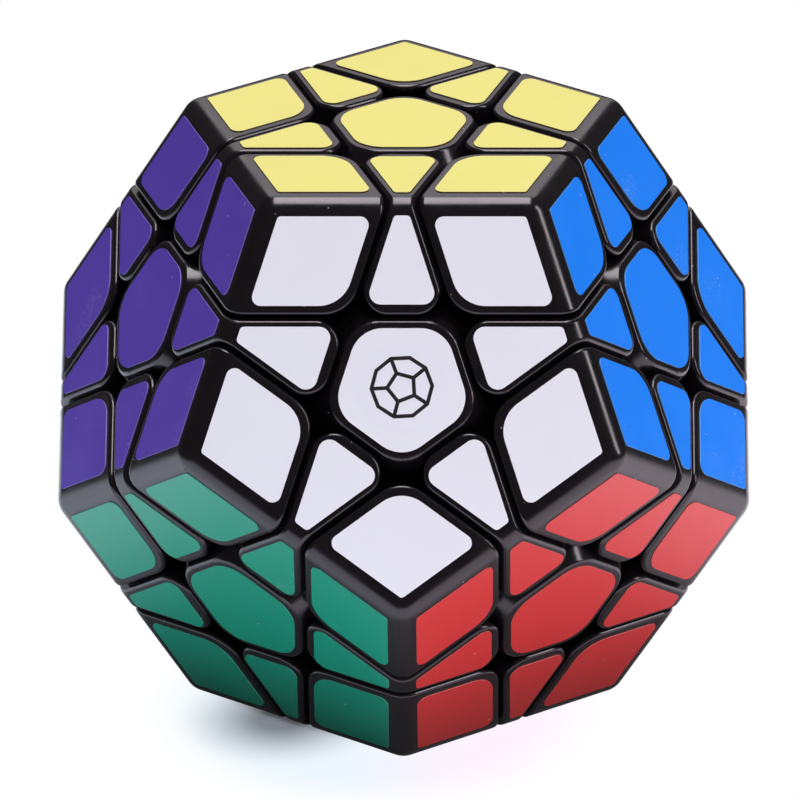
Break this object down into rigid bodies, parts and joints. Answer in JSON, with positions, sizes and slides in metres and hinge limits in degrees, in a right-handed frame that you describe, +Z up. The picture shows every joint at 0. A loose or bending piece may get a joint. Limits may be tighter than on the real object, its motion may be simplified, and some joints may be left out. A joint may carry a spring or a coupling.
{
  "type": "dodecahedron twisty puzzle",
  "caption": "Black dodecahedral twisty puzzle with coloured stickers, sprung centres and turning face layers.",
  "frame": {"origin": "middle of the core, where the twelve turning axes cross", "axes": "+Z up through the middle of the yellow face; the puzzle rests on the opposite face; -Y towards the white face and the viewer"},
  "size_m": [0.0926, 0.097, 0.08],
  "materials": {
    "shell_plastic": "satin moulded black",
    "inner_plastic": "moulded black",
    "core_plastic": "moulded black",
    "plated_steel": "zinc plated",
    "spring_steel": "drawn wire",
    "sticker_yellow": "satin vinyl",
    "sticker_white": "satin vinyl",
    "sticker_blue": "satin vinyl",
    "sticker_lime": "satin vinyl",
    "sticker_orange": "satin vinyl",
    "sticker_purple": "satin vinyl",
    "sticker_red": "satin vinyl",
    "sticker_pink": "satin vinyl",
    "sticker_grey": "satin vinyl",
    "sticker_sky": "satin vinyl",
    "sticker_green": "satin vinyl",
    "sticker_cream": "satin vinyl"
  },
  "bodies": {
    "body": {"body_corner_feet": "inner_plastic", "body_corner_shells": "shell_plastic", "body_edge_feet": "inner_plastic", "body_edge_shells": "shell_plastic", "body_stickers_blue": "sticker_blue", "body_stickers_cream": "sticker_cream", "body_stickers_green": "sticker_green", "body_stickers_grey": "sticker_grey", "body_stickers_lime": "sticker_lime", "body_stickers_orange": "sticker_orange", "body_stickers_pink": "sticker_pink", "body_stickers_purple": "sticker_purple", "body_stickers_white": "sticker_white", "core": "core_plastic", "fixed_centre_cap": "shell_plastic", "fixed_centre_piece": "inner_plastic", "fixed_springs": "spring_steel", "live_springs": "spring_steel", "spring_washers": "plated_steel", "tension_screws": "plated_steel"},
    "left_centre": {"left_centre_cap": "shell_plastic", "left_centre_piece": "inner_plastic", "left_centre_sticker": "sticker_sky"},
    "left_layer": {"left_corner_feet": "inner_plastic", "left_corner_shells": "shell_plastic", "left_edge_feet": "inner_plastic", "left_edge_shells": "shell_plastic", "left_stickers_cream": "sticker_cream", "left_stickers_green": "sticker_green", "left_stickers_grey": "sticker_grey", "left_stickers_orange": "sticker_orange", "left_stickers_purple": "sticker_purple", "left_stickers_sky": "sticker_sky"},
    "right_centre": {"right_centre_cap": "shell_plastic", "right_centre_piece": "inner_plastic", "right_centre_sticker": "sticker_red"},
    "right_layer": {"right_corner_feet": "inner_plastic", "right_corner_shells": "shell_plastic", "right_edge_feet": "inner_plastic", "right_edge_shells": "shell_plastic", "right_stickers_blue": "sticker_blue", "right_stickers_cream": "sticker_cream", "right_stickers_green": "sticker_green", "right_stickers_pink": "sticker_pink", "right_stickers_red": "sticker_red", "right_stickers_white": "sticker_white"},
    "top_centre": {"top_centre_cap": "shell_plastic", "top_centre_piece": "inner_plastic", "top_centre_sticker": "sticker_yellow"},
    "top_layer": {"top_corner_feet": "inner_plastic", "top_corner_shells": "shell_plastic", "top_edge_feet": "inner_plastic", "top_edge_shells": "shell_plastic", "top_stickers_blue": "sticker_blue", "top_stickers_lime": "sticker_lime", "top_stickers_orange": "sticker_orange", "top_stickers_purple": "sticker_purple", "top_stickers_white": "sticker_white", "top_stickers_yellow": "sticker_yellow"}
  },
  "joints": [
    {"name": "top_turn", "type": "hinge", "parent": "body", "child": "top_layer", "pos_m": [0, 0, 0], "axis": [0, 0, 1], "continuous": true},
    {"name": "right_turn", "type": "hinge", "parent": "body", "child": "right_layer", "pos_m": [0, 0, 0], "axis": [0.5257, -0.7236, -0.4472], "continuous": true},
    {"name": "left_turn", "type": "hinge", "parent": "body", "child": "left_layer", "pos_m": [0, 0, 0], "axis": [-0.8507, 0.2764, -0.4472], "continuous": true},
    {"name": "top_centre_lift", "type": "slide", "parent": "top_layer", "child": "top_centre", "axis": [0, 0, 1], "range_m": [0, 0.0006], "stiffness_N_per_m": 900, "springref_m": -0.0025, "deforming": ["live_springs"]},
    {"name": "right_centre_lift", "type": "slide", "parent": "right_layer", "child": "right_centre", "axis": [0.5257, -0.7236, -0.4472], "range_m": [0, 0.0006], "stiffness_N_per_m": 900, "springref_m": -0.0025, "deforming": ["live_springs"]},
    {"name": "left_centre_lift", "type": "slide", "parent": "left_layer", "child": "left_centre", "axis": [-0.8507, 0.2764, -0.4472], "range_m": [0, 0.0006], "stiffness_N_per_m": 900, "springref_m": -0.0025, "deforming": ["live_springs"]}
  ]
}
